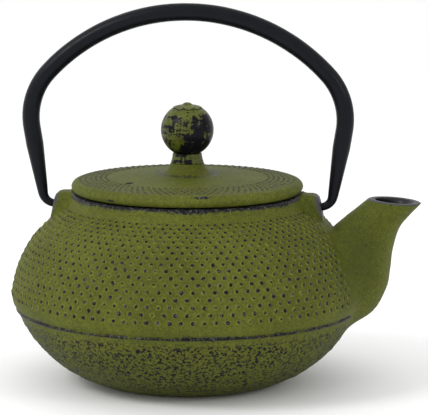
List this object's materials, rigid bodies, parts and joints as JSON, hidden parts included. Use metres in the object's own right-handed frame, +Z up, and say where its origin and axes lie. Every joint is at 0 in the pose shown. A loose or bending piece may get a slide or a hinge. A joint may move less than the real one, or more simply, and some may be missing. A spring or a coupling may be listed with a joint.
{
  "type": "cast iron teapot",
  "caption": "Low round cast iron teapot with hobnail relief, short spout, swinging bail handle, knobbed lid and lift-out steel infuser basket.",
  "frame": {"origin": "on the pot's vertical axis, at the level of the flat base it stands on", "axes": "+Z up, +X towards the spout, the bail swings about an axis along X"},
  "size_m": [0.1658, 0.1428, 0.1539],
  "materials": {
    "painted_iron": "moss green paint over black enamel, rubbed back to black on the high spots",
    "worn_iron": "the same paint, worn through to black in large patches",
    "black_iron": "satin black enamel",
    "steel": "satin",
    "steel_mesh": "fine woven mesh"
  },
  "bodies": {
    "pot": {"pot_body": "painted_iron"},
    "bail": {"bail_handle": "black_iron"},
    "infuser": {"infuser_rim": "steel", "infuser_mesh_wall": "steel_mesh", "infuser_mesh_base": "steel_mesh", "infuser_band": "steel"},
    "lid": {"lid": "painted_iron", "lid_knob": "worn_iron", "knob_neck": "worn_iron", "knob_washer": "steel"}
  },
  "joints": [
    {"name": "bail_swing", "type": "hinge", "parent": "pot", "child": "bail", "pos_m": [0, 0, 0.072], "axis": [1, 0, 0], "range_deg": [-105, 105]},
    {"name": "infuser_lift", "type": "slide", "parent": "pot", "child": "infuser", "axis": [0, 0, 1], "range_m": [0, 0.032]},
    {"name": "lid_lift", "type": "slide", "parent": "infuser", "child": "lid", "axis": [0, 0, 1], "range_m": [0, 0.032]}
  ]
}
